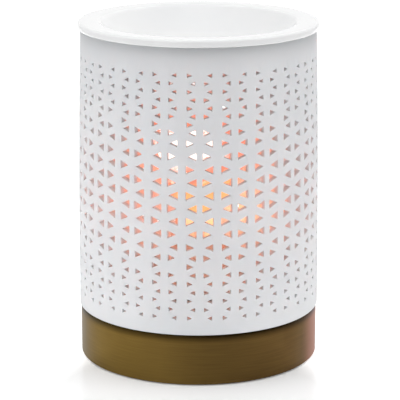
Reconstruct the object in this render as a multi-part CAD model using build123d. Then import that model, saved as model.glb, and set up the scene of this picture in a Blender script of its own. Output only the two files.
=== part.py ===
from build123d import *
from build123d.topology import SkipClean
import math
import os

# Electric essential oil burner: a dish on a pierced porcelain shade, with a reflector lamp in a bronze base.
# Millimetres. +Z is up, the origin is the centre of the footprint on the table, and the front faces -Y.

# Clearances and small standard values
RUNNING_GAP = 0.1
LOOSE_GAP = 0.4
OVERRUN = 1.0
SOFT_EDGE = 0.5

# Base: a bronze cup, open below, that a plate closes
BASE_RADIUS = 54.7
BASE_TOP = 23.6
BASE_WALL = 2.6
BASE_DECK = 3.0
BASE_SHOULDER = 1.5
BASE_RIM_LIFT = 0.4
STEP_WIDTH = 2.0
STEP_HEIGHT = 4.0
PLATE_THICKNESS = 2.5
PLATE_LIFT = 1.0
FOOT_RADIUS = 6.0
FOOT_INSET = 9.1
FOOT_COUNT = 4

# Screws that hold the plate to bosses under the deck
BOSS_RADIUS = 4.0
BOSS_INSET = 12.1
BOSS_COUNT = 4
PLATE_SCREW_RADIUS = 1.5
PLATE_SCREW_LENGTH = 10.0
PLATE_SCREW_HEAD_RADIUS = 2.8
PLATE_SCREW_HEAD = 1.5
SCREW_SLOT_WIDTH = 0.7
SCREW_SLOT_DEPTH = 0.7
EDGE_MATCH = 0.01

# Shade: a pierced porcelain tube whose wall leans in towards the top, in one shallow arc
SHADE_OVERHANG = 0.6
SHADE_LEAN = 1.9
SHADE_WALL = 3.0
SHADE_HEIGHT = 128.0

# Piercing: 22 repeats round the shade and 25 rows of triangles, largest in the middle row
REPEATS = 22
MIDDLE_ROW_HEIGHT = 63.15
MIDDLE_ROW_COUNT = 9
BAND_ROW_COUNT = 8
MIDDLE_PITCH = 5.78
UPPER_PITCH = 3.58
LOWER_PITCH = 3.9
LARGE_HOLE_EDGE = 4.1
LARGE_HOLE_WIDTH = 4.4
SMALL_HOLE_EDGE = 1.9
SMALL_HOLE_WIDTH = 2.2
NEAR_PAIR_SHARE = 0.173
FAR_PAIR_SHARE = 0.199
SINGLE_ROW_COUNT_FROM_MIDDLE = 6
PATTERN_TURN = 0.49

# Dish: a shallow oil bowl with a wide rim that sits on the shade
DISH_OVERHANG = 1.2
DISH_RIM = 3.6
DISH_RIM_TOP_ROUND = 1.5
DISH_RIM_UNDER_ROUND = 1.0
DISH_LIP_WIDTH = 2.2
DISH_FLANGE_WIDTH = 7.6
DISH_FLANGE_FALL = 0.35
BOWL_DEPTH = 20.5
BOWL_WALL = 3.4
BOWL_EDGE_ROUND = 3.0
SPIGOT_WIDTH = 2.5
SPIGOT_HEIGHT = 3.0

# Bracket: a strap of sheet steel that carries the lamp holder over the deck
BRACKET_WIDTH = 22.0
BRACKET_SHEET = 1.2
BRACKET_RISE = 6.8
BRACKET_TOP_LENGTH = 32.0
BRACKET_FOOT_LENGTH = 11.0
BRACKET_SCREW_RADIUS = 1.5
BRACKET_SCREW_HEAD_RADIUS = 2.8
BRACKET_SCREW_HEAD = 1.8
NUT_ACROSS_FLATS = 5.5
NUT_HEIGHT = 2.4
NUT_THREAD_PROUD = 0.8

# Lamp holder: a ceramic drum with two curved pin slots
HOLDER_RADIUS = 12.8
HOLDER_HEIGHT = 25.0
HOLDER_SCREW_PLACE = 9.4
HOLDER_SCREW_RADIUS = 1.2
HOLDER_SCREW_HEAD_RADIUS = 2.2
HOLDER_SCREW_HEAD = 1.6
HOLDER_SCREW_SEAT = 14.0
SLOT_CAP = 3.2
SLOT_CHANNEL_DEPTH = 5.6
LOCK_TURN = 30.0
LOCKED_ANGLE = 75.0
CONTACT_THICKNESS = 0.8
CONTACT_LENGTH = 5.0
CONTACT_WIDTH = 3.0

# Lamp: a reflector lamp with two turn-and-lock pins
PIN_PLACE_RADIUS = 5.0
PIN_NECK_RADIUS = 1.5
PIN_HEAD_RADIUS = 2.4
PIN_HEAD = 2.4
PIN_LENGTH = 6.6
LAMP_SEAT_GAP = 0.2
LAMP_NECK_RADIUS = 10.8
LAMP_NECK_HEIGHT = 13.0
REFLECTOR_HEIGHT = 37.5
REFLECTOR_ROOT_RADIUS = 12.2
REFLECTOR_RADIUS = 25.2
REFLECTOR_WALL = 1.6
REFLECTOR_SPREAD_SHARES = (0, 0.48, 0.8, 1)
REFLECTOR_RIM = 4.0
FRONT_GLASS = 2.0
FRONT_GLASS_SEAT = 0.8
CAPSULE_RADIUS = 4.0
CAPSULE_HEIGHT = 19.0

# Wiring inside the base
BLOCK_LENGTH = 16.0
BLOCK_WIDTH = 19.0
BLOCK_HEIGHT = 12.0
BLOCK_PLACE_Y = 25.0
POLE_PLACE = 5.5
SLEEVE_RADIUS = 2.4
SLEEVE_BORE = 1.5
SLEEVE_HEIGHT = 5.0
CLAMP_SCREW_RADIUS = 1.2
CLAMP_SCREW_PLACE = 4.0
FIXING_SCREW_RADIUS = 1.2
FIXING_SCREW_HEAD_RADIUS = 2.2
FIXING_SCREW_HEAD = 1.4
LEAD_RADIUS = 0.9
LEAD_BEND = 2.6
LEAD_PLACE_Y = 8.6
LEAD_SLOT_LENGTH = 17.0
LEAD_SLOT_WIDTH = 4.4

# Rubber grommet at the rear, where the cord enters
GROMMET_HEIGHT = 11.5
GROMMET_NECK_RADIUS = 3.6
GROMMET_FLANGE_RADIUS = 5.4
GROMMET_FLANGE = 0.7
GROMMET_BORE_RADIUS = 2.3

# Derived levels
PLATE_TOP = PLATE_LIFT + PLATE_THICKNESS
DECK_UNDERSIDE = BASE_TOP - BASE_DECK
BASE_BORE = BASE_RADIUS - BASE_WALL
FOOT_PLACE_RADIUS = BASE_BORE - FOOT_INSET
BOSS_PLACE_RADIUS = BASE_BORE - BOSS_INSET
SHADE_FOOT_RADIUS = BASE_RADIUS + SHADE_OVERHANG
SHADE_TOP_RADIUS = SHADE_FOOT_RADIUS - SHADE_LEAN
SHADE_TOP = BASE_TOP + SHADE_HEIGHT
DISH_TOP = SHADE_TOP + DISH_RIM
DISH_RADIUS = SHADE_TOP_RADIUS + DISH_OVERHANG
DISH_FLANGE_RADIUS = DISH_RADIUS - DISH_LIP_WIDTH
BOWL_RADIUS = DISH_FLANGE_RADIUS - DISH_FLANGE_WIDTH
SPIGOT_RADIUS = SHADE_TOP_RADIUS - SHADE_WALL - LOOSE_GAP
STEP_RADIUS = SHADE_FOOT_RADIUS - SHADE_WALL - LOOSE_GAP
BRACKET_TOP = BASE_TOP + BRACKET_RISE
HOLDER_TOP = BRACKET_TOP + HOLDER_HEIGHT
LAMP_FOOT = HOLDER_TOP + LAMP_SEAT_GAP
REFLECTOR_FOOT = LAMP_FOOT + LAMP_NECK_HEIGHT
REFLECTOR_TOP = REFLECTOR_FOOT + REFLECTOR_HEIGHT
BRACKET_SCREW_PLACE = BRACKET_TOP_LENGTH / 2 + BRACKET_FOOT_LENGTH / 2

os.makedirs("parts", exist_ok=True)


def drum(radius, low, high, x=0, y=0):
    """Upright cylinder between two heights."""
    return Pos(x, y, (low + high) / 2) * Cylinder(radius, high - low)


def block(length, width, low, high, x=0, y=0):
    """Upright box between two heights."""
    return Pos(x, y, (low + high) / 2) * Box(length, width, high - low)


def turned(*outline):
    """Solid of revolution about Z from points of radius and height."""
    return revolve(Plane.XZ * make_face(Polyline(*outline, close=True)), Axis.Z)


def ring_places(count, radius, first_angle):
    """Places of equal spacing round a circle."""
    angles = [math.radians(first_angle + 360 * i / count) for i in range(count)]
    return [(radius * math.cos(a), radius * math.sin(a)) for a in angles]


def rounded(solid, radius, height, amount):
    """Fillet the circular edges of one radius and height."""
    picked = [
        e for e in solid.edges().filter_by(GeomType.CIRCLE)
        if abs(e.radius - radius) < EDGE_MATCH
        and abs(e.center(CenterOf.BOUNDING_BOX).Z - height) < EDGE_MATCH
    ]
    return fillet(picked, amount)


FOOT_PLACES = ring_places(FOOT_COUNT, FOOT_PLACE_RADIUS, 0)
BOSS_PLACES = ring_places(BOSS_COUNT, BOSS_PLACE_RADIUS, 180 / BOSS_COUNT)
PIN_PLACES = ring_places(2, PIN_PLACE_RADIUS, LOCKED_ANGLE)


# Base
def grommet_hole(radius, inner, outer):
    """Cylinder along Y through the rear wall of the base."""
    return Pos(0, (inner + outer) / 2, GROMMET_HEIGHT) * Rot(90, 0, 0) * Cylinder(radius, outer - inner)


def base_cup():
    cup = drum(BASE_RADIUS, BASE_RIM_LIFT, BASE_TOP)
    cup = rounded(cup, BASE_RADIUS, BASE_TOP, BASE_SHOULDER)
    cup = rounded(cup, BASE_RADIUS, BASE_RIM_LIFT, SOFT_EDGE)
    cup -= drum(BASE_BORE, BASE_RIM_LIFT - OVERRUN, DECK_UNDERSIDE)
    cup += drum(STEP_RADIUS, BASE_TOP - BASE_DECK / 2, BASE_TOP + STEP_HEIGHT)
    cup -= drum(STEP_RADIUS - STEP_WIDTH, BASE_TOP, BASE_TOP + STEP_HEIGHT + OVERRUN)
    for x, y in BOSS_PLACES:
        cup += drum(BOSS_RADIUS, PLATE_TOP, DECK_UNDERSIDE, x, y)
        cup -= drum(PLATE_SCREW_RADIUS + RUNNING_GAP, PLATE_TOP - OVERRUN,
                    PLATE_TOP + PLATE_SCREW_LENGTH, x, y)
    cup -= block(LEAD_SLOT_LENGTH, LEAD_SLOT_WIDTH, DECK_UNDERSIDE - OVERRUN, BASE_TOP + OVERRUN,
                 0, LEAD_PLACE_Y)
    for side in (-1, 1):
        cup -= drum(BRACKET_SCREW_RADIUS + RUNNING_GAP, DECK_UNDERSIDE - OVERRUN, BASE_TOP + OVERRUN,
                    side * BRACKET_SCREW_PLACE)
    return cup - grommet_hole(GROMMET_NECK_RADIUS, BASE_RADIUS / 2, BASE_RADIUS + OVERRUN)


def base_plate():
    plate = drum(BASE_BORE - LOOSE_GAP, PLATE_LIFT, PLATE_TOP)
    for x, y in BOSS_PLACES:
        plate -= drum(PLATE_SCREW_RADIUS + RUNNING_GAP, PLATE_LIFT - OVERRUN, PLATE_TOP + OVERRUN, x, y)
        plate -= drum(PLATE_SCREW_HEAD_RADIUS + RUNNING_GAP, PLATE_LIFT - OVERRUN,
                      PLATE_LIFT + PLATE_SCREW_HEAD, x, y)
    return plate - drum(FIXING_SCREW_RADIUS, PLATE_LIFT + PLATE_THICKNESS / 2, PLATE_TOP + OVERRUN,
                        0, BLOCK_PLACE_Y)


def base_foot(x, y):
    foot = drum(FOOT_RADIUS, 0, PLATE_LIFT, x, y)
    return rounded(foot, FOOT_RADIUS, 0, PLATE_LIFT / 3)


def plate_screw(x, y):
    head_low = PLATE_LIFT
    screw = drum(PLATE_SCREW_HEAD_RADIUS, head_low, head_low + PLATE_SCREW_HEAD, x, y)
    screw += drum(PLATE_SCREW_RADIUS, head_low, PLATE_TOP + PLATE_SCREW_LENGTH - OVERRUN, x, y)
    return screw - block(2 * PLATE_SCREW_HEAD_RADIUS + OVERRUN, SCREW_SLOT_WIDTH, head_low - OVERRUN,
                         head_low + SCREW_SLOT_DEPTH, x, y)


# Shade
def row_rise(steps, pitch):
    """Height of a row over or under the middle one, where the outer band's rows have their own pitch."""
    middle_steps = (MIDDLE_ROW_COUNT - 1) // 2
    if steps <= middle_steps:
        return steps * MIDDLE_PITCH
    return middle_steps * MIDDLE_PITCH + (MIDDLE_PITCH - pitch) / 2 + (steps - middle_steps) * pitch


def piercing_rows():
    """Row number, height above the shade's foot and size share, from the lowest row to the highest."""
    last = (MIDDLE_ROW_COUNT - 1) // 2 + BAND_ROW_COUNT
    rows = []
    for number in range(-last, last + 1):
        pitch = UPPER_PITCH if number > 0 else LOWER_PITCH
        rise = row_rise(abs(number), pitch)
        size_share = (1 + math.cos(math.pi * rise / row_rise(last, pitch))) / 2
        rows.append((number, MIDDLE_ROW_HEIGHT + math.copysign(rise, number), size_share))
    return rows


def triangle_cut(angle, height, points_left, size_share):
    """Radial prism through the wall whose flat edge is upright, centred on the triangle's centroid."""
    edge = SMALL_HOLE_EDGE + (LARGE_HOLE_EDGE - SMALL_HOLE_EDGE) * size_share
    width = SMALL_HOLE_WIDTH + (LARGE_HOLE_WIDTH - SMALL_HOLE_WIDTH) * size_share
    side = 1 if points_left else -1
    outline = Polygon(
        (side * width / 3, side * edge / 2),
        (-side * width * 2 / 3, 0),
        (side * width / 3, -side * edge / 2),
        align=None,
    )
    a = math.radians(angle - 90)
    outward = Vector(math.cos(a), math.sin(a), 0)
    start = outward * (SHADE_TOP_RADIUS - SHADE_WALL - OVERRUN) + Vector(0, 0, BASE_TOP + height)
    place = Plane(origin=start, x_dir=(-math.sin(a), math.cos(a), 0), z_dir=outward)
    return extrude(place * outline, SHADE_WALL + SHADE_LEAN + 2 * OVERRUN)


def shade_wall():
    """Section of the wall: two like arcs, upright at the foot, between rounded edges."""
    foot = (SHADE_FOOT_RADIUS, BASE_TOP)
    top = (SHADE_TOP_RADIUS, SHADE_TOP)
    outer = TangentArc(foot, top, tangent=(0, 1))
    inner = Pos(-SHADE_WALL, 0) * outer
    section = make_face([outer, inner, Line(outer @ 0, inner @ 0), Line(outer @ 1, inner @ 1)])
    return fillet(section.vertices(), SOFT_EDGE)


def shade_sector():
    """One repeat of the wall with its triangles, paired across the repeat's middle or its edge."""
    period = 360 / REPEATS
    sector = revolve(Plane.XZ * shade_wall(), Axis.Z, period).rotate(Axis.Z, PATTERN_TURN - 90 - period / 2)
    cuts = []
    for number, height, size_share in piercing_rows():
        meets_at_middle = number % 2 != 0
        for side in (-1, 1):
            points_left = (side < 0) == meets_at_middle
            if points_left and abs(number) == SINGLE_ROW_COUNT_FROM_MIDDLE:
                continue
            away = NEAR_PAIR_SHARE if meets_at_middle else 0.5 - FAR_PAIR_SHARE
            cuts.append(triangle_cut(PATTERN_TURN + side * away * period, height, points_left, size_share))
    return sector - cuts


def shade():
    sector = shade_sector()
    copies = [sector.rotate(Axis.Z, i * 360 / REPEATS) for i in range(REPEATS)]
    with SkipClean():
        return copies[0] + copies[1:]


# Dish
def dish():
    sphere_radius = (BOWL_RADIUS ** 2 + BOWL_DEPTH ** 2) / (2 * BOWL_DEPTH)
    flange_top = DISH_TOP - DISH_FLANGE_FALL
    centre = flange_top - BOWL_DEPTH + sphere_radius
    rim = drum(DISH_RADIUS, SHADE_TOP, DISH_TOP)
    rim = rounded(rim, DISH_RADIUS, DISH_TOP, DISH_RIM_TOP_ROUND)
    rim = rounded(rim, DISH_RADIUS, SHADE_TOP, DISH_RIM_UNDER_ROUND)
    fall = turned((0, DISH_TOP + OVERRUN), (0, flange_top), (BOWL_RADIUS, flange_top),
                  (DISH_FLANGE_RADIUS, DISH_TOP), (DISH_FLANGE_RADIUS, DISH_TOP + OVERRUN))
    ball = Pos(0, 0, centre) * Sphere(sphere_radius + BOWL_WALL)
    under = ball & drum(BOWL_RADIUS + BOWL_WALL, centre - sphere_radius - BOWL_WALL, flange_top)
    body = rim + under + drum(SPIGOT_RADIUS, SHADE_TOP - SPIGOT_HEIGHT, SHADE_TOP)
    hollow = drum(SPIGOT_RADIUS - SPIGOT_WIDTH, SHADE_TOP - SPIGOT_HEIGHT, SHADE_TOP) - ball
    body = body - hollow - fall - Pos(0, 0, centre) * Sphere(sphere_radius)
    return rounded(body, BOWL_RADIUS, flange_top, BOWL_EDGE_ROUND)


# Bracket and lamp holder
def lamp_bracket():
    half_top = BRACKET_TOP_LENGTH / 2
    strap = block(BRACKET_TOP_LENGTH, BRACKET_WIDTH, BASE_TOP, BRACKET_TOP)
    strap -= block(BRACKET_TOP_LENGTH - 2 * BRACKET_SHEET, BRACKET_WIDTH + OVERRUN, BASE_TOP - OVERRUN,
                   BRACKET_TOP - BRACKET_SHEET)
    for side in (-1, 1):
        middle = side * (half_top + BRACKET_FOOT_LENGTH / 2 - BRACKET_SHEET / 2)
        strap += block(BRACKET_FOOT_LENGTH + BRACKET_SHEET, BRACKET_WIDTH, BASE_TOP,
                       BASE_TOP + BRACKET_SHEET, middle)
        strap -= drum(BRACKET_SCREW_RADIUS + RUNNING_GAP, BASE_TOP - OVERRUN,
                      BASE_TOP + BRACKET_SHEET + OVERRUN, side * BRACKET_SCREW_PLACE)
        strap -= drum(HOLDER_SCREW_RADIUS + RUNNING_GAP, BRACKET_TOP - BRACKET_SHEET - OVERRUN,
                      BRACKET_TOP + OVERRUN, side * HOLDER_SCREW_PLACE)
    return strap - block(LEAD_SLOT_LENGTH, LEAD_SLOT_WIDTH, BRACKET_TOP - BRACKET_SHEET - OVERRUN,
                         BRACKET_TOP + OVERRUN, 0, LEAD_PLACE_Y)


def bracket_screw(side):
    head_low = BASE_TOP + BRACKET_SHEET
    low = DECK_UNDERSIDE - NUT_HEIGHT - NUT_THREAD_PROUD
    x = side * BRACKET_SCREW_PLACE
    screw = drum(BRACKET_SCREW_HEAD_RADIUS, head_low, head_low + BRACKET_SCREW_HEAD, x)
    screw += drum(BRACKET_SCREW_RADIUS, low, head_low + BRACKET_SCREW_HEAD / 2, x)
    return screw - block(2 * BRACKET_SCREW_HEAD_RADIUS + OVERRUN, SCREW_SLOT_WIDTH,
                         head_low + BRACKET_SCREW_HEAD - SCREW_SLOT_DEPTH,
                         head_low + BRACKET_SCREW_HEAD + OVERRUN, x)


def bracket_nut(side):
    hexagon = RegularPolygon(NUT_ACROSS_FLATS / 2, 6, major_radius=False)
    low = DECK_UNDERSIDE - NUT_HEIGHT
    nut = Pos(side * BRACKET_SCREW_PLACE, 0, low) * extrude(hexagon, NUT_HEIGHT)
    return nut - drum(BRACKET_SCREW_RADIUS + RUNNING_GAP, low - OVERRUN, DECK_UNDERSIDE + OVERRUN,
                      side * BRACKET_SCREW_PLACE)


def curved_slot(half_width, start_angle, low, high):
    """Slot that follows the pin's path from the locked angle to the release angle."""
    path = CenterArc((0, 0), PIN_PLACE_RADIUS, start_angle, LOCK_TURN)
    return Pos(0, 0, low) * extrude(SlotArc(path, 2 * half_width), high - low)


def lamp_holder():
    holder = drum(HOLDER_RADIUS, BRACKET_TOP, HOLDER_TOP)
    holder = rounded(holder, HOLDER_RADIUS, HOLDER_TOP, SOFT_EDGE)
    cap_low = HOLDER_TOP - SLOT_CAP
    for start in (LOCKED_ANGLE, LOCKED_ANGLE + 180):
        holder -= curved_slot(PIN_NECK_RADIUS + LOOSE_GAP, start, cap_low - OVERRUN, HOLDER_TOP + OVERRUN)
        holder -= curved_slot(PIN_HEAD_RADIUS + LOOSE_GAP, start, cap_low - SLOT_CHANNEL_DEPTH, cap_low)
        a = math.radians(start + LOCK_TURN)
        holder -= drum(PIN_HEAD_RADIUS + LOOSE_GAP, cap_low, HOLDER_TOP + OVERRUN,
                       PIN_PLACE_RADIUS * math.cos(a), PIN_PLACE_RADIUS * math.sin(a))
    for side in (-1, 1):
        x = side * HOLDER_SCREW_PLACE
        holder -= drum(HOLDER_SCREW_RADIUS + RUNNING_GAP, BRACKET_TOP - OVERRUN, HOLDER_TOP + OVERRUN, x)
        holder -= drum(HOLDER_SCREW_HEAD_RADIUS + LOOSE_GAP, BRACKET_TOP + HOLDER_SCREW_SEAT,
                       HOLDER_TOP + OVERRUN, x)
    return holder


def holder_screw(side):
    x = side * HOLDER_SCREW_PLACE
    seat = BRACKET_TOP + HOLDER_SCREW_SEAT
    screw = drum(HOLDER_SCREW_HEAD_RADIUS, seat, seat + HOLDER_SCREW_HEAD, x)
    screw += drum(HOLDER_SCREW_RADIUS, BRACKET_TOP - 1.5 * BRACKET_SHEET, seat + HOLDER_SCREW_HEAD / 2, x)
    return screw - block(2 * HOLDER_SCREW_HEAD_RADIUS + OVERRUN, SCREW_SLOT_WIDTH,
                         seat + HOLDER_SCREW_HEAD - SCREW_SLOT_DEPTH, seat + HOLDER_SCREW_HEAD + OVERRUN, x)


def holder_contact(x, y):
    """Sprung brass leaf on the floor of a pin channel."""
    floor = HOLDER_TOP - SLOT_CAP - SLOT_CHANNEL_DEPTH
    leaf = Box(CONTACT_LENGTH, CONTACT_WIDTH, CONTACT_THICKNESS)
    angle = math.degrees(math.atan2(y, x)) - 90
    return Pos(x, y, floor + CONTACT_THICKNESS / 2) * Rot(0, 0, angle) * leaf & holder_channel_room(floor)


def holder_channel_room(floor):
    """The space of both pin channels, which trims the contacts to fit."""
    half = PIN_HEAD_RADIUS + LOOSE_GAP / 2
    return (curved_slot(half, LOCKED_ANGLE, floor, floor + SLOT_CHANNEL_DEPTH)
            + curved_slot(half, LOCKED_ANGLE + 180, floor, floor + SLOT_CHANNEL_DEPTH))


# Lamp
def lamp_base():
    body = drum(LAMP_NECK_RADIUS, LAMP_FOOT, REFLECTOR_FOOT)
    return rounded(body, LAMP_NECK_RADIUS, LAMP_FOOT, SOFT_EDGE)


def lamp_pin(x, y):
    tip = LAMP_FOOT - PIN_LENGTH
    pin = drum(PIN_HEAD_RADIUS, tip, tip + PIN_HEAD, x, y)
    return pin + drum(PIN_NECK_RADIUS, tip + PIN_HEAD / 2, LAMP_FOOT, x, y)


def reflector_face(inset, low, high):
    """Half section of the bowl's outside, or of its inside where it is inset by the wall."""
    rise = REFLECTOR_TOP - REFLECTOR_RIM - low
    spread = REFLECTOR_RADIUS - REFLECTOR_ROOT_RADIUS
    last = len(REFLECTOR_SPREAD_SHARES) - 1
    side = Spline(*[
        (REFLECTOR_ROOT_RADIUS - inset + spread * share, low + rise * i / last)
        for i, share in enumerate(REFLECTOR_SPREAD_SHARES)
    ])
    rest = Polyline(side @ 1, (REFLECTOR_RADIUS - inset, high), (0, high), (0, low), side @ 0)
    return make_face(side.edges() + rest.edges())


def lamp_reflector():
    """Open bowl of glass that widens to an upright rim."""
    outside = reflector_face(0, REFLECTOR_FOOT, REFLECTOR_TOP)
    inside = reflector_face(REFLECTOR_WALL, REFLECTOR_FOOT + REFLECTOR_WALL, REFLECTOR_TOP + OVERRUN)
    bowl = revolve(Plane.XZ * outside, Axis.Z) - revolve(Plane.XZ * inside, Axis.Z)
    bowl -= drum(REFLECTOR_RADIUS - REFLECTOR_WALL + FRONT_GLASS_SEAT, REFLECTOR_TOP - FRONT_GLASS,
                 REFLECTOR_TOP + OVERRUN)
    return bowl - drum(CAPSULE_RADIUS / 2 + RUNNING_GAP, REFLECTOR_FOOT - OVERRUN,
                       REFLECTOR_FOOT + 2 * REFLECTOR_WALL)


def lamp_front_glass():
    seat_radius = REFLECTOR_RADIUS - REFLECTOR_WALL + FRONT_GLASS_SEAT
    return drum(seat_radius, REFLECTOR_TOP - FRONT_GLASS, REFLECTOR_TOP)


def lamp_capsule():
    """Quartz capsule on a pinched stem that stands in the reflector's throat."""
    low = REFLECTOR_FOOT + REFLECTOR_WALL
    top = low + CAPSULE_HEIGHT
    bulb = drum(CAPSULE_RADIUS, low, top - CAPSULE_RADIUS)
    bulb += Pos(0, 0, top - CAPSULE_RADIUS) * Sphere(CAPSULE_RADIUS)
    return bulb + drum(CAPSULE_RADIUS / 2, REFLECTOR_FOOT, low + RUNNING_GAP)


# Wiring
def sleeve_bore(radius, pole):
    """Cylinder along Y through the whole length of the terminal block."""
    place = Pos(pole * POLE_PLACE, BLOCK_PLACE_Y, PLATE_TOP + SLEEVE_HEIGHT)
    return place * Rot(90, 0, 0) * Cylinder(radius, BLOCK_LENGTH)


def clamp_places():
    """Pole, x and y of each clamp screw."""
    return [
        (pole, pole * POLE_PLACE, BLOCK_PLACE_Y + end * CLAMP_SCREW_PLACE)
        for pole in (-1, 1) for end in (-1, 1)
    ]


def terminal_block():
    top = PLATE_TOP + BLOCK_HEIGHT
    body = block(BLOCK_WIDTH, BLOCK_LENGTH, PLATE_TOP, top, 0, BLOCK_PLACE_Y)
    for pole in (-1, 1):
        body -= sleeve_bore(SLEEVE_RADIUS, pole)
    for pole, x, y in clamp_places():
        body -= drum(CLAMP_SCREW_RADIUS + LOOSE_GAP, PLATE_TOP + SLEEVE_HEIGHT, top + OVERRUN, x, y)
    body -= drum(FIXING_SCREW_RADIUS + RUNNING_GAP, PLATE_TOP - OVERRUN, top + OVERRUN, 0, BLOCK_PLACE_Y)
    return body - drum(FIXING_SCREW_HEAD_RADIUS + RUNNING_GAP, top - BLOCK_HEIGHT / 3, top + OVERRUN,
                       0, BLOCK_PLACE_Y)


def terminal_sleeve(pole):
    sleeve = sleeve_bore(SLEEVE_RADIUS, pole) - sleeve_bore(SLEEVE_BORE, pole)
    for clamp_pole, x, y in clamp_places():
        if clamp_pole == pole:
            sleeve -= drum(CLAMP_SCREW_RADIUS, PLATE_TOP + SLEEVE_HEIGHT, PLATE_TOP + BLOCK_HEIGHT, x, y)
    return sleeve


def terminal_screw(x, y):
    low = PLATE_TOP + SLEEVE_HEIGHT + LEAD_RADIUS
    high = PLATE_TOP + BLOCK_HEIGHT - SCREW_SLOT_DEPTH
    screw = drum(CLAMP_SCREW_RADIUS, low, high, x, y)
    return screw - block(2 * CLAMP_SCREW_RADIUS + OVERRUN, SCREW_SLOT_WIDTH, high - SCREW_SLOT_DEPTH,
                         high + OVERRUN, x, y)


def terminal_fixing_screw():
    seat = PLATE_TOP + BLOCK_HEIGHT * 2 / 3
    screw = drum(FIXING_SCREW_HEAD_RADIUS, seat, seat + FIXING_SCREW_HEAD, 0, BLOCK_PLACE_Y)
    screw += drum(FIXING_SCREW_RADIUS, PLATE_LIFT + PLATE_THICKNESS / 2, seat + FIXING_SCREW_HEAD / 2,
                  0, BLOCK_PLACE_Y)
    return screw - block(2 * FIXING_SCREW_HEAD_RADIUS + OVERRUN, SCREW_SLOT_WIDTH,
                         seat + FIXING_SCREW_HEAD - SCREW_SLOT_DEPTH, seat + FIXING_SCREW_HEAD + OVERRUN,
                         0, BLOCK_PLACE_Y)


def lead(pole):
    """Insulated wire from a terminal sleeve, up through the deck and bracket to the holder's underside."""
    x = pole * POLE_PLACE
    low = PLATE_TOP + SLEEVE_HEIGHT
    path = FilletPolyline(
        (x, BLOCK_PLACE_Y - BLOCK_LENGTH / 2 + SLEEVE_BORE, low),
        (x, LEAD_PLACE_Y, low),
        (x, LEAD_PLACE_Y, BRACKET_TOP),
        radius=LEAD_BEND,
    )
    return sweep(Plane(origin=path @ 0, z_dir=path % 0) * Circle(LEAD_RADIUS), path=path)


def cord_grommet():
    """Flanged rubber ring round the cord's hole, fitted to the curve of the wall."""
    inner_face = BASE_BORE - 2 * GROMMET_FLANGE
    outer_face = BASE_RADIUS + GROMMET_FLANGE
    neck = grommet_hole(GROMMET_NECK_RADIUS, inner_face, outer_face)
    outside = grommet_hole(GROMMET_FLANGE_RADIUS, BASE_BORE, outer_face) - drum(BASE_RADIUS, 0, BASE_TOP)
    inside = grommet_hole(GROMMET_FLANGE_RADIUS, inner_face, BASE_RADIUS) & drum(BASE_BORE, 0, BASE_TOP)
    return neck + outside + inside - grommet_hole(GROMMET_BORE_RADIUS, 0, BASE_RADIUS + OVERRUN)


def pieces():
    """Every node's name with its solid, in assembly order."""
    yield "base_cup", base_cup()
    yield "base_plate", base_plate()
    for i, (x, y) in enumerate(FOOT_PLACES, 1):
        yield f"base_foot_{i}", base_foot(x, y)
    for i, (x, y) in enumerate(BOSS_PLACES, 1):
        yield f"plate_screw_{i}", plate_screw(x, y)
    yield "cord_grommet", cord_grommet()
    yield "terminal_block", terminal_block()
    yield "terminal_fixing_screw", terminal_fixing_screw()
    for name, pole in (("live", -1), ("neutral", 1)):
        yield f"terminal_sleeve_{name}", terminal_sleeve(pole)
        yield f"lead_{name}", lead(pole)
    for i, (pole, x, y) in enumerate(clamp_places(), 1):
        yield f"terminal_screw_{i}", terminal_screw(x, y)
    yield "lamp_bracket", lamp_bracket()
    for i, side in enumerate((-1, 1), 1):
        yield f"bracket_screw_{i}", bracket_screw(side)
        yield f"bracket_nut_{i}", bracket_nut(side)
    yield "lamp_holder", lamp_holder()
    for i, side in enumerate((-1, 1), 1):
        yield f"holder_screw_{i}", holder_screw(side)
    for i, (x, y) in enumerate(PIN_PLACES, 1):
        yield f"holder_contact_{i}", holder_contact(x, y)
        yield f"lamp_pin_{i}", lamp_pin(x, y)
    yield "lamp_base", lamp_base()
    yield "lamp_reflector", lamp_reflector()
    yield "lamp_capsule", lamp_capsule()
    yield "lamp_front_glass", lamp_front_glass()
    yield "shade", shade()
    yield "dish", dish()


for node, solid in pieces():
    export_step(solid, f"parts/{node}.step")
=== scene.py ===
import math

import bpy
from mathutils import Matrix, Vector, geometry


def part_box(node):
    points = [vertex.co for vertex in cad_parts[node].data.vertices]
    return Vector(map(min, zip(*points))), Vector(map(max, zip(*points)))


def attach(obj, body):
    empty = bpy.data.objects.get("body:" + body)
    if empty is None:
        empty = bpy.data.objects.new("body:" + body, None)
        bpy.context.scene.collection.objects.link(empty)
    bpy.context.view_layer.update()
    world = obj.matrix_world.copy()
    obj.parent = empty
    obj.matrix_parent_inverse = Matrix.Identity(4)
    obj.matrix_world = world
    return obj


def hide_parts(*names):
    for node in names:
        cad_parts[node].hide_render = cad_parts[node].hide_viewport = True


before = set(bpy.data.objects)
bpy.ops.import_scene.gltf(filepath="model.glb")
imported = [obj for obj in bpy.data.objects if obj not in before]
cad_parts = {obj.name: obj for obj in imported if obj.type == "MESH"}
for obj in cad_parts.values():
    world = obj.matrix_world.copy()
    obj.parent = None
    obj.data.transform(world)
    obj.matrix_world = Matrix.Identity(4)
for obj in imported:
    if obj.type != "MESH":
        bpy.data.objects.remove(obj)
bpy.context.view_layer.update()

# Base cup: a low round cup of pressed steel under an antique bronze lacquer.
# It was spun on a lathe and wiped by hand, so it has fine level lines and a
# patina that drifts from olive gold on the left to red-brown on the right. The
# lighter left is also painted side light, the right edge has a painted reddish
# highlight, and the shoulder under the shade has painted shade.
MM = 0.001
SHARP_ANGLE = math.radians(32)
WELD_DISTANCE = 0.001 * MM
LACQUER_COLOUR = "#6B542A"
LACQUER_ROUGHNESS = (0.34, 0.5)
PATINA_COLOURS = ("#725C2C", "#614A2B")
PATINA_CLOUD = 22 * MM
PATINA_WANDER = 0.35
PATINA_AND_SIDE_LIGHT_DRIFT = (-0.1, 1.0)
PATINA_RANGE = (0.15, 1.15)
LATHE_LINE = 2.0 * MM
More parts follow.
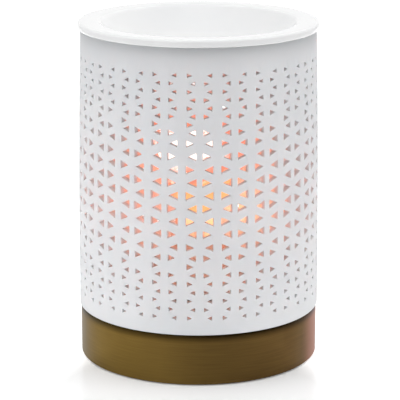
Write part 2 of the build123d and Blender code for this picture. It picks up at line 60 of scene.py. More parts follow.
LATHE_STRETCH = (0.12, 0.12, 4.0)
LATHE_RANGE = (0.25, 0.75)
LATHE_LEVELS = (0.88, 1.12)
LATHE_RELIEF = 0.02 * MM
DECK_HEIGHT = 23.6 * MM
CREASE_SHADE_BAND = (4.5 * MM, 0.7 * MM)
CREASE_SHADE_LEVEL = 0.3
LACQUER_EDGE = (51.6 * MM, 52 * MM)
PRIMER_COLOUR = "#B4B4B6"
RIGHT_SHEEN_FROM = 0.85
RIGHT_SHEEN_SHARE = 0.7
RIGHT_SHEEN_COLOUR = "#B9785F"


def linear(hex_colour):
    """Linear RGBA of an sRGB hex colour."""
    channels = [int(hex_colour[i:i + 2], 16) / 255 for i in (1, 3, 5)]
    return [c / 12.92 if c <= 0.04045 else ((c + 0.055) / 1.055) ** 2.4 for c in channels] + [1.0]


def add(tree, kind, inputs=None, **settings):
    """A new node with its settings, and each named input set to a value or linked from a socket."""
    node = tree.nodes.new(kind)
    for name, value in settings.items():
        setattr(node, name, value)
    for socket, value in (inputs or {}).items():
        if isinstance(value, bpy.types.NodeSocket):
            tree.links.new(value, node.inputs[socket])
        else:
            node.inputs[socket].default_value = value
    return node


def new_finish(name, colour, roughness, metallic=0.0, **sockets):
    """A material of one shader, with its node tree and its shader."""
    material = bpy.data.materials.new(name)
    material.use_nodes = True
    tree = material.node_tree
    shader = tree.nodes["Principled BSDF"]
    shader.inputs["Base Color"].default_value = linear(colour)
    shader.inputs["Roughness"].default_value = roughness
    shader.inputs["Metallic"].default_value = metallic
    for socket, value in sockets.items():
        shader.inputs[socket.replace("_", " ")].default_value = value
    return material, tree, shader


def object_pattern(tree, size, stretch=(1, 1, 1)):
    """Noise on the piece's own coordinates whose grain is about a given size."""
    place = add(tree, "ShaderNodeTexCoord").outputs["Object"]
    mapped = add(tree, "ShaderNodeMapping", {"Vector": place, "Scale": stretch})
    return add(tree, "ShaderNodeTexNoise",
               {"Vector": mapped.outputs["Vector"], "Scale": 1 / size, "Detail": 4.0})


def roughen(tree, shader, pattern, depth):
    """Relief of a given depth from a pattern."""
    bump = add(tree, "ShaderNodeBump", {"Height": pattern, "Distance": depth, "Strength": 1.0})
    tree.links.new(bump.outputs["Normal"], shader.inputs["Normal"])


def tint(tree, shader, pattern, from_colour, to_colour, low=0.3, high=0.7):
    """Colour that goes from one shade to another with a pattern."""
    share = add(tree, "ShaderNodeMapRange", {"Value": pattern, "From Min": low, "From Max": high})
    mix = add(tree, "ShaderNodeMix",
              {"Factor": share.outputs["Result"]}, data_type="RGBA")
    mix.inputs["A"].default_value = linear(from_colour)
    mix.inputs["B"].default_value = linear(to_colour)
    tree.links.new(mix.outputs["Result"], shader.inputs["Base Color"])
    return mix


def easing_tree():
    """Joins a solid's loose triangles and shades it smooth up to its sharp edges."""
    tree = bpy.data.node_groups.new("eased_surface", "GeometryNodeTree")
    tree.interface.new_socket("Geometry", in_out="INPUT", socket_type="NodeSocketGeometry")
    tree.interface.new_socket("Geometry", in_out="OUTPUT", socket_type="NodeSocketGeometry")
    given = add(tree, "NodeGroupInput")
    joined = add(tree, "GeometryNodeMergeByDistance",
                 {"Geometry": given.outputs["Geometry"], "Distance": WELD_DISTANCE})
    smooth = add(tree, "GeometryNodeSetShadeSmooth", {"Geometry": joined.outputs["Geometry"]},
                 domain="FACE")
    angle = add(tree, "GeometryNodeInputMeshEdgeAngle")
    sharp = add(tree, "FunctionNodeCompare",
                {"A": angle.outputs["Unsigned Angle"], "B": SHARP_ANGLE}, operation="GREATER_THAN")
    eased = add(tree, "GeometryNodeSetShadeSmooth",
                {"Geometry": smooth.outputs["Geometry"], "Selection": sharp.outputs["Result"],
                 "Shade Smooth": False}, domain="EDGE")
    add(tree, "NodeGroupOutput", {"Geometry": eased.outputs["Geometry"]})
    return tree


eased_surface = easing_tree()


def dress(node_name, material):
    """Gives a solid its finish and eases its surface."""
    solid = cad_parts[node_name]
    solid.data.materials.clear()
    solid.data.materials.append(material)
    easing = solid.modifiers.new("eased surface", "NODES")
    easing.node_group = eased_surface


def multiplied(tree, colour, level):
    """Colour socket of a colour times a level."""
    product = add(tree, "ShaderNodeMix", {"Factor": 1.0}, data_type="RGBA", blend_type="MULTIPLY")
    tree.links.new(colour, product.inputs["A"])
    tree.links.new(level, product.inputs["B"])
    return product.outputs["Result"]


def lathe_tangent(tree, place):
    """Direction across the lathe's grooves, for the stretched highlights of turned metal."""
    along_groove = add(tree, "ShaderNodeVectorMath", {0: place, 1: (0, 0, 1)}, operation="CROSS_PRODUCT")
    return add(tree, "ShaderNodeVectorMath", {0: along_groove.outputs["Vector"], 1: place},
               operation="CROSS_PRODUCT").outputs["Vector"]


def bronze_lacquer():
    """Bronze lacquer outside: satin metal, lathe lines, a patina, painted light and shade; pale primer on
    the deck inside.
    """
    material, tree, shader = new_finish("antique_bronze_lacquer", LACQUER_COLOUR, 0.42, 1.0,
                                        Anisotropic=0.7, Specular_Tint=linear("#D8DADC"))
    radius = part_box("base_cup")[1].x
    place = add(tree, "ShaderNodeTexCoord").outputs["Object"]
    tree.links.new(lathe_tangent(tree, place), shader.inputs["Tangent"])
    across = add(tree, "ShaderNodeSeparateXYZ", {"Vector": place})
    clouds = object_pattern(tree, PATINA_CLOUD)
    # Patina tone that drifts from left to right, and so also paints the left side lighter: painted side
    # light.
    side_light_drift = add(tree, "ShaderNodeMapRange",
                {"Value": across.outputs["X"], "From Min": -radius, "From Max": radius,
                 "To Min": PATINA_AND_SIDE_LIGHT_DRIFT[0], "To Max": PATINA_AND_SIDE_LIGHT_DRIFT[1]})
    share = add(tree, "ShaderNodeMath",
                {0: clouds.outputs["Fac"], 1: PATINA_WANDER, 2: side_light_drift.outputs["Result"]},
                operation="MULTIPLY_ADD")
    patina = tint(tree, shader, share.outputs["Value"], *PATINA_COLOURS, *PATINA_RANGE)
    lines = object_pattern(tree, LATHE_LINE, LATHE_STRETCH)
    wiped = add(tree, "ShaderNodeMapRange",
                {"Value": lines.outputs["Fac"], "From Min": LATHE_RANGE[0], "From Max": LATHE_RANGE[1],
                 "To Min": LATHE_LEVELS[0], "To Max": LATHE_LEVELS[1]})
    worn = multiplied(tree, patina.outputs["Result"], wiped.outputs["Result"])
    # Painted highlight: a lighter reddish copper over the right edge of the cup.
    right_sheen_share = add(tree, "ShaderNodeMapRange",
              {"Value": across.outputs["X"], "From Min": RIGHT_SHEEN_FROM * radius, "From Max": radius,
               "To Max": RIGHT_SHEEN_SHARE},
              interpolation_type="SMOOTHSTEP")
    right_sheened = add(tree, "ShaderNodeMix", {"Factor": right_sheen_share.outputs["Result"]}, data_type="RGBA")
    tree.links.new(worn, right_sheened.inputs["A"])
    right_sheened.inputs["B"].default_value = linear(RIGHT_SHEEN_COLOUR)
    # Painted shade: the bronze is darkened in a band just under the deck, where the shade's foot overhangs
    # the shoulder.
    crease_shade = add(tree, "ShaderNodeMapRange",
                 {"Value": across.outputs["Z"], "From Min": DECK_HEIGHT - CREASE_SHADE_BAND[0],
                  "From Max": DECK_HEIGHT - CREASE_SHADE_BAND[1], "To Min": 1.0, "To Max": CREASE_SHADE_LEVEL},
                 interpolation_type="SMOOTHSTEP")
    crease_shaded = multiplied(tree, right_sheened.outputs["Result"], crease_shade.outputs["Result"])
    level_part = add(tree, "ShaderNodeVectorMath", {0: place, 1: (1, 1, 0)}, operation="MULTIPLY")
    out = add(tree, "ShaderNodeVectorMath", {0: level_part.outputs["Vector"]}, operation="LENGTH")
    lacquered = add(tree, "ShaderNodeMapRange",
                    {"Value": out.outputs["Value"], "From Min": LACQUER_EDGE[0],
                     "From Max": LACQUER_EDGE[1]})
    coat = add(tree, "ShaderNodeMix", {"Factor": lacquered.outputs["Result"]}, data_type="RGBA")
    coat.inputs["A"].default_value = linear(PRIMER_COLOUR)
    tree.links.new(crease_shaded, coat.inputs["B"])
    tree.links.new(coat.outputs["Result"], shader.inputs["Base Color"])
    tree.links.new(lacquered.outputs["Result"], shader.inputs["Metallic"])
    rough = add(tree, "ShaderNodeMapRange",
                {"Value": clouds.outputs["Fac"], "To Min": LACQUER_ROUGHNESS[0],
                 "To Max": LACQUER_ROUGHNESS[1]})
    tree.links.new(rough.outputs["Result"], shader.inputs["Roughness"])
    roughen(tree, shader, lines.outputs["Fac"], LATHE_RELIEF)
    return material


dress("base_cup", bronze_lacquer())

# Base plate and feet: a moulded black ABS disc in the cup's mouth, on four
# stuck rubber pads, with four screws up into the cup's bosses.
SPARK_GRAIN = 0.5 * MM
SPARK_RELIEF = 0.05 * MM
RUBBER_BLOOM = 3 * MM
RUBBER_RELIEF = 0.03 * MM
ZINC_SPANGLE = 1.6 * MM


def moulded_black():
    """Spark-textured ABS: matt, with a fine even grain."""
    material, tree, shader = new_finish("moulded_black_abs", "#1B1B1C", 0.6)
    grain = object_pattern(tree, SPARK_GRAIN)
    roughen(tree, shader, grain.outputs["Fac"], SPARK_RELIEF)
    tint(tree, shader, grain.outputs["Fac"], "#161617", "#242425")
    return material


def black_rubber():
    """Moulded rubber: a dusty black with no gloss."""
    material, tree, shader = new_finish("black_rubber", "#232322", 0.85)
    bloom = object_pattern(tree, RUBBER_BLOOM)
    tint(tree, shader, bloom.outputs["Fac"], "#1C1C1B", "#31312F")
    roughen(tree, shader, bloom.outputs["Fac"], RUBBER_RELIEF)
    return material


def zinc_steel():
    """Zinc-plated steel: a bright grey with faint cloudy spangle."""
    material, tree, shader = new_finish("zinc_plated_steel", "#B9BBBD", 0.32, 1.0)
    spangle = object_pattern(tree, ZINC_SPANGLE)
    tint(tree, shader, spangle.outputs["Fac"], "#A5A8AB", "#C9CBCC")
    return material


abs_black = moulded_black()
rubber = black_rubber()
steel = zinc_steel()
dress("base_plate", abs_black)
for i in range(1, 5):
    dress(f"base_foot_{i}", rubber)
    dress(f"plate_screw_{i}", steel)

# Cord grommet: a flanged ring of soft rubber, pushed into the hole at the rear.
# Its flange is the only dark spot on the back of the base.
dress("cord_grommet", rubber)

# Terminals and leads: a two-pole block of nylon on the plate, brass sleeves
# with clamp screws, and two silicone leads that climb to the lamp holder.
BRASS_TARNISH = 2 * MM
TALC_GRAIN = 1.2 * MM
TALC_RANGE = (0.45, 0.9)


def plain_brass():
    """Turned brass, a little tarnished."""
    material, tree, shader = new_finish("turned_brass", "#C9A45A", 0.28, 1.0)
    tarnish = object_pattern(tree, BRASS_TARNISH)
    tint(tree, shader, tarnish.outputs["Fac"], "#B08A45", "#D6B56C")
    return material


def silicone(name, colour, dust_colour):
    """Silicone insulation: soft, slightly glossy, with a fine dusting of talc."""
    material, tree, shader = new_finish(name, colour, 0.42)
    talc = object_pattern(tree, TALC_GRAIN)
    tint(tree, shader, talc.outputs["Fac"], colour, dust_colour, *TALC_RANGE)
    return material


brass = plain_brass()
dress("terminal_block", abs_black)
dress("terminal_fixing_screw", steel)
dress("lead_live", silicone("brown_silicone", "#5B3520", "#7C5B47"))
dress("lead_neutral", silicone("blue_silicone", "#2C56A0", "#5A7CBB"))
for i in range(1, 5):
    dress(f"terminal_screw_{i}", steel)
for pole in ("live", "neutral"):
    dress(f"terminal_sleeve_{pole}", brass)

# Bracket: a strap of zinc-plated sheet, bent twice each side and screwed
# through the deck, with the lamp holder on top.
dress("lamp_bracket", steel)
for i in (1, 2):
    dress(f"bracket_screw_{i}", steel)
    dress(f"bracket_nut_{i}", steel)

# Lamp holder: a pressed drum of steatite with two curved slots for the lamp's
# pins, brass leaves under them and two long screws down to the bracket.
PORE_SIZE = 0.8 * MM
PORE_DEPTH = 0.04 * MM
PORE_RANGE = (0.3, 0.55)


def steatite_body(name, light, dark):
    """Unglazed pressed ceramic: chalky, with fine pores."""
    material, tree, shader = new_finish(name, light, 0.75)
    pores = object_pattern(tree, PORE_SIZE)
    tint(tree, shader, pores.outputs["Fac"], dark, light, *PORE_RANGE)
    roughen(tree, shader, pores.outputs["Fac"], PORE_DEPTH)
    return material


dress("lamp_holder", steatite_body("steatite", "#E9E4D8", "#D5CFC0"))
for i in (1, 2):
    dress(f"holder_screw_{i}", steel)
    dress(f"holder_contact_{i}", brass)

# Lamp: a 50 mm reflector lamp with its face up. Its thin dichroic coat lets
# red and amber light out of the back, and it is near white by the filament.
RED_COLOUR = "#F09A80"
AMBER_COLOUR = "#F6BE7C"
HOT_COLOUR = "#FFF6F0"
AMBER_SPOT = (4 * MM, -14 * MM, 71 * MM)
AMBER_REACH = (10 * MM, 21 * MM)
HOT_SPOT = (-6 * MM, -20 * MM, 102 * MM)
HOT_REACH = (9 * MM, 19 * MM)
HOT_STRENGTH = 1.5
AMBER_STRENGTH = 1.0
COAT_STRENGTH = 0.85
NECK_PAINTED_GLOW = 0.1
COVER_STRENGTH = 0.6
CAPSULE_COLOUR = "#FFD9A6"
CAPSULE_STRENGTH = 6.0
FACET_SIZE = 2.3 * MM
FACET_WANDER = 11 * MM


def near_spot(tree, place, spot, reach):
    """Share that is 1 near a spot and falls to 0, facet by facet."""
    away = add(tree, "ShaderNodeVectorMath", {0: place, 1: spot}, operation="DISTANCE")
    facets = add(tree, "ShaderNodeTexVoronoi", {"Vector": place, "Scale": 1 / FACET_SIZE})
    each = add(tree, "ShaderNodeSeparateColor", {"Color": facets.outputs["Color"]})
    wander = add(tree, "ShaderNodeMath",
                 {0: each.outputs[0], 1: FACET_WANDER, 2: away.outputs["Value"]},
                 operation="MULTIPLY_ADD")
    return add(tree, "ShaderNodeMapRange",
               {"Value": wander.outputs["Value"], "From Min": reach[0] + FACET_WANDER / 2,
                "From Max": reach[1] + FACET_WANDER / 2, "To Min": 1.0, "To Max": 0.0},
               interpolation_type="SMOOTHSTEP").outputs["Result"]


def glow_through(tree, shader, red_strength):
    """Light through a surface: red at a given strength, amber by the throat, white by the filament."""
    place = add(tree, "ShaderNodeTexCoord").outputs["Object"]
    amber = near_spot(tree, place, AMBER_SPOT, AMBER_REACH)
    hot = near_spot(tree, place, HOT_SPOT, HOT_REACH)
    lower = add(tree, "ShaderNodeMix", {"Factor": amber}, data_type="RGBA")
    lower.inputs["A"].default_value = linear(RED_COLOUR)
    lower.inputs["B"].default_value = linear(AMBER_COLOUR)
    upper = add(tree, "ShaderNodeMix", {"Factor": hot}, data_type="RGBA")
    tree.links.new(lower.outputs["Result"], upper.inputs["A"])
    upper.inputs["B"].default_value = linear(HOT_COLOUR)
    tree.links.new(upper.outputs["Result"], shader.inputs["Emission Color"])
    lower_strength = add(tree, "ShaderNodeMapRange",
                         {"Value": amber, "To Min": red_strength, "To Max": AMBER_STRENGTH})
    strength = add(tree, "ShaderNodeMapRange",
                   {"Value": hot, "To Min": lower_strength.outputs["Result"], "To Max": HOT_STRENGTH})
    tree.links.new(strength.outputs["Result"], shader.inputs["Emission Strength"])


def dichroic_glass():
    """Coated lamp glass with a faceted back that glows through its coat."""
    material, tree, shader = new_finish("dichroic_lamp_glass", "#8A5A48", 0.18)
    glow_through(tree, shader, COAT_STRENGTH)
    return material


def ceramic_with_painted_glow():
    """The lamp's pressed ceramic neck, with a painted red and amber glow, strongest where it meets the
    glass.
    """
    material = steatite_body("lamp_base_ceramic", "#F0E6D6", "#DDD0BC")
    tree = material.node_tree
    glow_through(tree, tree.nodes["Principled BSDF"], NECK_PAINTED_GLOW)
    return material


def front_glass():
    """The lamp's clear cover, red where the coat is lit and white over the filament."""
    material, tree, shader = new_finish("lamp_front_glass", "#C08A78", 0.08)
    glow_through(tree, shader, COVER_STRENGTH)
    return material


def quartz():
    """The filament's clear capsule, full of light."""
    material, tree, shader = new_finish("quartz_capsule", "#FFF4E6", 0.08)
    shader.inputs["Emission Color"].default_value = linear(CAPSULE_COLOUR)
    shader.inputs["Emission Strength"].default_value = CAPSULE_STRENGTH
    return material


dress("lamp_base", ceramic_with_painted_glow())
for i in (1, 2):
    dress(f"lamp_pin_{i}", brass)
dress("lamp_reflector", dichroic_glass())
dress("lamp_capsule", quartz())
dress("lamp_front_glass", front_glass())

# Shade: a slip-cast porcelain tube with a matt bisque face, whose wall leans in
# a little towards the top. The triangles were cut through the soft clay, so
# their edges are eased, and they repeat 22 times, largest half way up.
SHADE_WALL = 3.0 * MM
SHADE_LEAN = 1.9 * MM
RIM_ROUND = 0.5 * MM
REPEATS = 22
MIDDLE_ROW_HEIGHT = 63.15 * MM
MIDDLE_ROWS = 9
BAND_ROWS = 8
MIDDLE_PITCH = 5.78 * MM
UPPER_PITCH = 3.58 * MM
LOWER_PITCH = 3.9 * MM
SMALL_HOLE = (1.9 * MM, 2.2 * MM)
LARGE_HOLE = (4.1 * MM, 4.4 * MM)
NEAR_PAIR_SHARE = 0.173
FAR_PAIR_SHARE = 0.301
SINGLE_ROW = 6
PATTERN_TURN = math.radians(0.49)
HOLE_EASE = 0.22 * MM
HOLE_CORNER = 0.22 * MM
WALL_COLUMNS = 10
CUT_TOLERANCE = 0.0005 * MM
RIM_TURNS = (30, 60, 90)
SEAM_WELD = 0.002 * MM
LIP_SHADE_BAND = 14 * MM
LIP_SHADE_FALL = 3.0
LIP_SHADE_LEVEL = 0.7
PORCELAIN_DEPTH = 4 * MM
PORCELAIN_COLOURS = ("#E2E4E7", "#E8E9EB")
FIRING_CLOUD = 30 * MM
BISQUE_GRAIN = 0.6 * MM
BISQUE_RELIEF = 0.02 * MM

shade_low, shade_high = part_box("shade")
shade_radius = shade_high.x
repeat_width = 2 * math.pi * shade_radius / REPEATS


def outer_radius(z):
    """Radius of the wall's outer face at a height."""
    rise_share = (z - shade_low.z) / (shade_high.z - shade_low.z)
    return shade_radius - SHADE_LEAN * rise_share ** 2


def row_rise(steps, pitch):
    """Height of a row over or under the middle one."""
    middle_steps = (MIDDLE_ROWS - 1) // 2
    if steps <= middle_steps:
        return steps * MIDDLE_PITCH
    last_middle = middle_steps * MIDDLE_PITCH
    return last_middle + (MIDDLE_PITCH - pitch) / 2 + (steps - middle_steps) * pitch


def hole_outline(x, z, points_left, size_share):
    """Centre, shrink and eased outline of one triangle, unrolled, opened by its eased edge."""
    edge, width = (small + (large - small) * size_share
                   for small, large in zip(SMALL_HOLE, LARGE_HOLE))
    side = 1 if points_left else -1
    width *= shade_radius / outer_radius(z)
    corners = [Vector((side * width / 3, side * edge / 2)), Vector((-side * width * 2 / 3, 0)),
               Vector((side * width / 3, -side * edge / 2))]
    lengths = [(corners[i - 1] - corners[i - 2]).length for i in range(3)]
    inradius = edge * width / sum(lengths)
    centre = sum((corners[i] * lengths[i] for i in range(3)), Vector((0, 0))) / sum(lengths)
    opened = (inradius + HOLE_EASE) / inradius
    outline = []
    for i in range(3):
        corner = centre + (corners[i] - centre) * opened
        ways = [(corners[j % 3] - corners[i]).normalized() for j in (i + 2, i + 1)]
        half_angle = ways[0].angle(ways[1]) / 2
        reach = HOLE_CORNER / math.tan(half_angle)
        inward = (ways[0] + ways[1]).normalized()
        nearest = HOLE_CORNER / math.sin(half_angle) - HOLE_CORNER
        outline += [corner + ways[0] * reach, corner + inward * nearest, corner + ways[1] * reach]
    here = Vector((x, z))
    return here + centre, 1 / opened, [here + p for p in outline]


def repeat_holes():
    """Every hole of one repeat of the wall."""
    last = (MIDDLE_ROWS - 1) // 2 + BAND_ROWS
    holes = []
    for number in range(-last, last + 1):
        pitch = UPPER_PITCH if number > 0 else LOWER_PITCH
        rise = row_rise(abs(number), pitch)
        size_share = (1 + math.cos(math.pi * rise / row_rise(last, pitch))) / 2
        z = shade_low.z + MIDDLE_ROW_HEIGHT + math.copysign(rise, number)
        meets_at_middle = number % 2 != 0
        away = NEAR_PAIR_SHARE if meets_at_middle else FAR_PAIR_SHARE
        for side in (-1, 1):
            points_left = (side < 0) == meets_at_middle
            if not (points_left and abs(number) == SINGLE_ROW):
                holes.append(hole_outline(side * away * repeat_width, z, points_left, size_share))
    return holes


def unrolled_wall(holes, low, high):
    """Points and faces of one flat repeat with its holes left out, and the holes' own edges."""
    half = repeat_width / 2
    points = [Vector((-half, low)), Vector((half, low)), Vector((half, high)), Vector((-half, high))]
    faces = [[0, 1, 2, 3]]
    for centre, shrink, outline in holes:
        faces.append(list(range(len(points), len(points) + len(outline))))
        points += outline
    edges = []
    for i in range(1, WALL_COLUMNS):
        x = -half + repeat_width * i / WALL_COLUMNS
        edges.append((len(points), len(points) + 1))
        points += [Vector((x, low)), Vector((x, high))]
    rows = round((high - low) / MIDDLE_PITCH)
    for i in range(1, rows):
        z = low + (high - low) * i / rows
        edges.append((len(points), len(points) + 1))
        points += [Vector((-half, z)), Vector((half, z))]
    found, _, triangles, _, _, sources = geometry.delaunay_2d_cdt(
        points, edges, faces, 1, CUT_TOLERANCE)
    wall = [t for t, source in zip(triangles, sources) if set(source) == {0}]
    uses = {}
    for t in wall:
        for i in range(3):
            pair = (t[i], t[(i + 1) % 3])
            uses[tuple(sorted(pair))] = None if tuple(sorted(pair)) in uses else pair
    open_edges = [pair for pair in uses.values() if pair]
    return found, wall, open_edges


def rolled(x, z, depth):
    """Place, at a depth under the wall's outer face, of a point of the unrolled wall."""
    angle = x / shade_radius + PATTERN_TURN
    radius = outer_radius(z) - depth
    return (radius * math.sin(angle), -radius * math.cos(angle), z)


def shade_repeat(material):
    """One repeat of the wall as a mesh with both faces, eased holes and rounded rims."""
    low, high = shade_low.z + RIM_ROUND, shade_high.z - RIM_ROUND
    holes = repeat_holes()
    points, wall, open_edges = unrolled_wall(holes, low, high)
    count = len(points)
    places = [rolled(p.x, p.y, 0) for p in points]
    places += [rolled(p.x, p.y, SHADE_WALL) for p in points]
    faces = [tuple(t) for t in wall] + [tuple(i + count for i in reversed(t)) for t in wall]
    rings = {}
    half = repeat_width / 2
    near = RIM_ROUND / 50

    def ring_of(i):
        """The points that join one edge point of the outer face to the inner one."""
        if i in rings:
            return rings[i]
        p = points[i]
        steps = []
        if abs(p.y - low) < near or abs(p.y - high) < near:
            way = 1 if abs(p.y - high) < near else -1
            turns = [math.radians(degrees) for degrees in RIM_TURNS]
            arc = [(p.y + way * RIM_ROUND * math.sin(t), RIM_ROUND * (1 - math.cos(t))) for t in turns]
            steps += [(p.x, z, depth) for z, depth in arc]
            steps += [(p.x, z, SHADE_WALL - depth) for z, depth in reversed(arc)]
        else:
            centre, shrink, _ = min(holes, key=lambda hole: (hole[0] - p).length)
            q = centre + (p - centre) * shrink
            spread = outer_radius(p.y) / (outer_radius(p.y) - SHADE_WALL)
            steps += [(q.x, q.y, HOLE_EASE),
                      (centre.x + (q.x - centre.x) * spread, q.y, SHADE_WALL - HOLE_EASE)]
            places[i + count] = rolled(centre.x + (p.x - centre.x) * spread, p.y, SHADE_WALL)
        first = len(places)
        places.extend(rolled(*step) for step in steps)
        rings[i] = [i] + list(range(first, first + len(steps))) + [i + count]
        return rings[i]

    for a, b in open_edges:
        on_side = abs(abs(points[a].x) - half) < near and abs(abs(points[b].x) - half) < near
        level = abs(points[a].y - points[b].y) < near and min(
            abs(points[a].y - low), abs(points[a].y - high)) < near
        if on_side and not level:
            continue
        first, second = ring_of(a), ring_of(b)
        for i in range(len(first) - 1):
            faces.append((second[i], first[i], first[i + 1], second[i + 1]))
    mesh = bpy.data.meshes.new("shade_repeat")
    mesh.from_pydata(places, [], faces)
    mesh.materials.append(material)
    return mesh


def repeat_tree(name, material):
    """Copies a mesh round Z, joins the copies and gives them their material."""
    tree = bpy.data.node_groups.new(name, "GeometryNodeTree")
    tree.interface.new_socket("Geometry", in_out="INPUT", socket_type="NodeSocketGeometry")
    tree.interface.new_socket("Count", in_out="INPUT", socket_type="NodeSocketInt")
    tree.interface.new_socket("Weld Distance", in_out="INPUT", socket_type="NodeSocketFloat")
    tree.interface.new_socket("Geometry", in_out="OUTPUT", socket_type="NodeSocketGeometry")
    given = add(tree, "NodeGroupInput")
    points = add(tree, "GeometryNodePoints", {"Count": given.outputs["Count"], "Position": (0, 0, 0)})
    index = add(tree, "GeometryNodeInputIndex")
    step = add(tree, "ShaderNodeMath", {0: math.tau, 1: given.outputs["Count"]}, operation="DIVIDE")
    turn = add(tree, "ShaderNodeMath", {0: index.outputs[0], 1: step.outputs["Value"]},
               operation="MULTIPLY")
    rotation = add(tree, "ShaderNodeCombineXYZ", {"Z": turn.outputs["Value"]})
    copies = add(tree, "GeometryNodeInstanceOnPoints",
                 {"Points": points.outputs[0], "Instance": given.outputs["Geometry"],
                  "Rotation": rotation.outputs["Vector"]})
    real = add(tree, "GeometryNodeRealizeInstances", {"Geometry": copies.outputs["Instances"]})
    welded = add(tree, "GeometryNodeMergeByDistance",
                 {"Geometry": real.outputs["Geometry"], "Distance": given.outputs["Weld Distance"]})
    coated = add(tree, "GeometryNodeSetMaterial",
                 {"Geometry": welded.outputs["Geometry"], "Material": material})
    add(tree, "NodeGroupOutput", {"Geometry": coated.outputs["Geometry"]})
    return tree


def set_input(modifier, name, value):
    """Sets a modifier's named input by its identifier."""
    for item in modifier.node_group.interface.items_tree:
        if item.item_type == "SOCKET" and item.in_out == "INPUT" and item.name == name:
            modifier[item.identifier] = value


def settle(piece):
    """Turns a piece's evaluated modifiers into a plain mesh, smooth up to its sharp edges."""
    graph = bpy.context.evaluated_depsgraph_get()
    mesh = bpy.data.meshes.new_from_object(piece.evaluated_get(graph))
    piece.modifiers.clear()
    piece.data = mesh
    mesh.shade_smooth()
    mesh.set_sharp_from_angle(angle=SHARP_ANGLE)


def bisque_porcelain():
    """Unglazed porcelain: matt white, faintly cloudy from firing, with painted shade under the dish's lip.
    """
    material, tree, shader = new_finish("bisque_porcelain", "#E6E6E8", 0.5, Subsurface_Weight=0.22,
                                        Subsurface_Scale=PORCELAIN_DEPTH)
    shader.inputs["Subsurface Radius"].default_value = (1.0, 0.8, 0.75)
    clouds = object_pattern(tree, FIRING_CLOUD)
    cloudy = tint(tree, shader, clouds.outputs["Fac"], *PORCELAIN_COLOURS)
    # Painted shade: the wall greys over its top band, darkest right under the dish's lip.
    place = add(tree, "ShaderNodeTexCoord").outputs["Object"]
    height = add(tree, "ShaderNodeSeparateXYZ", {"Vector": place})
    near_top = add(tree, "ShaderNodeMapRange",
                   {"Value": height.outputs["Z"], "From Min": shade_high.z - LIP_SHADE_BAND,
                    "From Max": shade_high.z})
    lip_shade_curve = add(tree, "ShaderNodeMath", {0: near_top.outputs["Result"], 1: LIP_SHADE_FALL},
                  operation="POWER")
    level = add(tree, "ShaderNodeMapRange",
                {"Value": lip_shade_curve.outputs["Value"], "To Min": 1.0, "To Max": LIP_SHADE_LEVEL})
    lip_shaded = multiplied(tree, cloudy.outputs["Result"], level.outputs["Result"])
    tree.links.new(lip_shaded, shader.inputs["Base Color"])
    grain = object_pattern(tree, BISQUE_GRAIN)
    roughen(tree, shader, grain.outputs["Fac"], BISQUE_RELIEF)
    return material


porcelain = bisque_porcelain()
pierced = bpy.data.objects.new("pierced_shade", shade_repeat(porcelain))
bpy.context.scene.collection.objects.link(pierced)
copying = pierced.modifiers.new("repeats", "NODES")
copying.node_group = repeat_tree("shade_repeats", porcelain)
set_input(copying, "Count", REPEATS)
set_input(copying, "Weld Distance", SEAM_WELD)
settle(pierced)
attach(pierced, "shade")
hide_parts("shade")

# Dish: slip-cast porcelain under a clear gloss glaze, jiggered on a wheel: a bowl
# for water and oil, a wide rim whose rounded lip overhangs the shade, and a
# spigot that keeps it centred inside the shade.
LIP_WIDTH = 2.2 * MM
LIP_TOP_ROUND = 1.5 * MM
LIP_UNDER_ROUND = 1.0 * MM
LIP_INNER_ROUND = 1.2 * MM
FLANGE_WIDTH = 7.6 * MM
FLANGE_FALL = 0.35 * MM
BOWL_DEPTH = 20.5 * MM
BOWL_WALL = 3.4 * MM
BOWL_EDGE_ROUND = 3.0 * MM
SPIGOT_GAP = 0.4 * MM
SPIGOT_WIDTH = 2.5 * MM
SPIGOT_HEIGHT = 3.0 * MM
FIRED_ROUND = 0.4 * MM
ROUND_STEPS = 7
BOWL_STEPS = 22
TURNED_SEGMENTS = 192
GLAZE_RIPPLE = 9 * MM
GLAZE_RELIEF = 0.03 * MM
GLAZE_POOL = 25 * MM

dish_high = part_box("dish")[1]


def bowl_arc(radius, centre_height, last_radius, steps):
    """Points of a sphere's underside from the axis out to a radius, as radius, height and no round."""
    last = math.asin(last_radius / radius)
    turns = [last * i / steps for i in range(steps + 1)]
    return [(radius * math.sin(t), centre_height - radius * math.cos(t), 0) for t in turns]


def dish_corners():
    """Radius, height and round of the section's corners, from the bowl's middle to its underside."""
    rim = dish_high.x
    lip = rim - LIP_WIDTH
    bowl = lip - FLANGE_WIDTH
    flange = dish_high.z - FLANGE_FALL
    seat = shade_high.z
    sphere = (bowl ** 2 + BOWL_DEPTH ** 2) / (2 * BOWL_DEPTH)
    centre_height = flange - BOWL_DEPTH + sphere
    spigot = outer_radius(seat) - SHADE_WALL - SPIGOT_GAP
    under = math.sqrt((sphere + BOWL_WALL) ** 2 - (centre_height - seat) ** 2)
    inside = bowl_arc(sphere, centre_height, bowl, BOWL_STEPS)[:-1]
    outside = bowl_arc(sphere + BOWL_WALL, centre_height, under, BOWL_STEPS)[::-1]
    return inside + [
        (bowl, flange, BOWL_EDGE_ROUND),
        (lip, dish_high.z, LIP_INNER_ROUND),
        (rim, dish_high.z, LIP_TOP_ROUND),
        (rim, seat, LIP_UNDER_ROUND),
        (spigot, seat, 0),
        (spigot, seat - SPIGOT_HEIGHT, FIRED_ROUND),
        (spigot - SPIGOT_WIDTH, seat - SPIGOT_HEIGHT, FIRED_ROUND),
        (spigot - SPIGOT_WIDTH, seat, 0),
    ] + outside


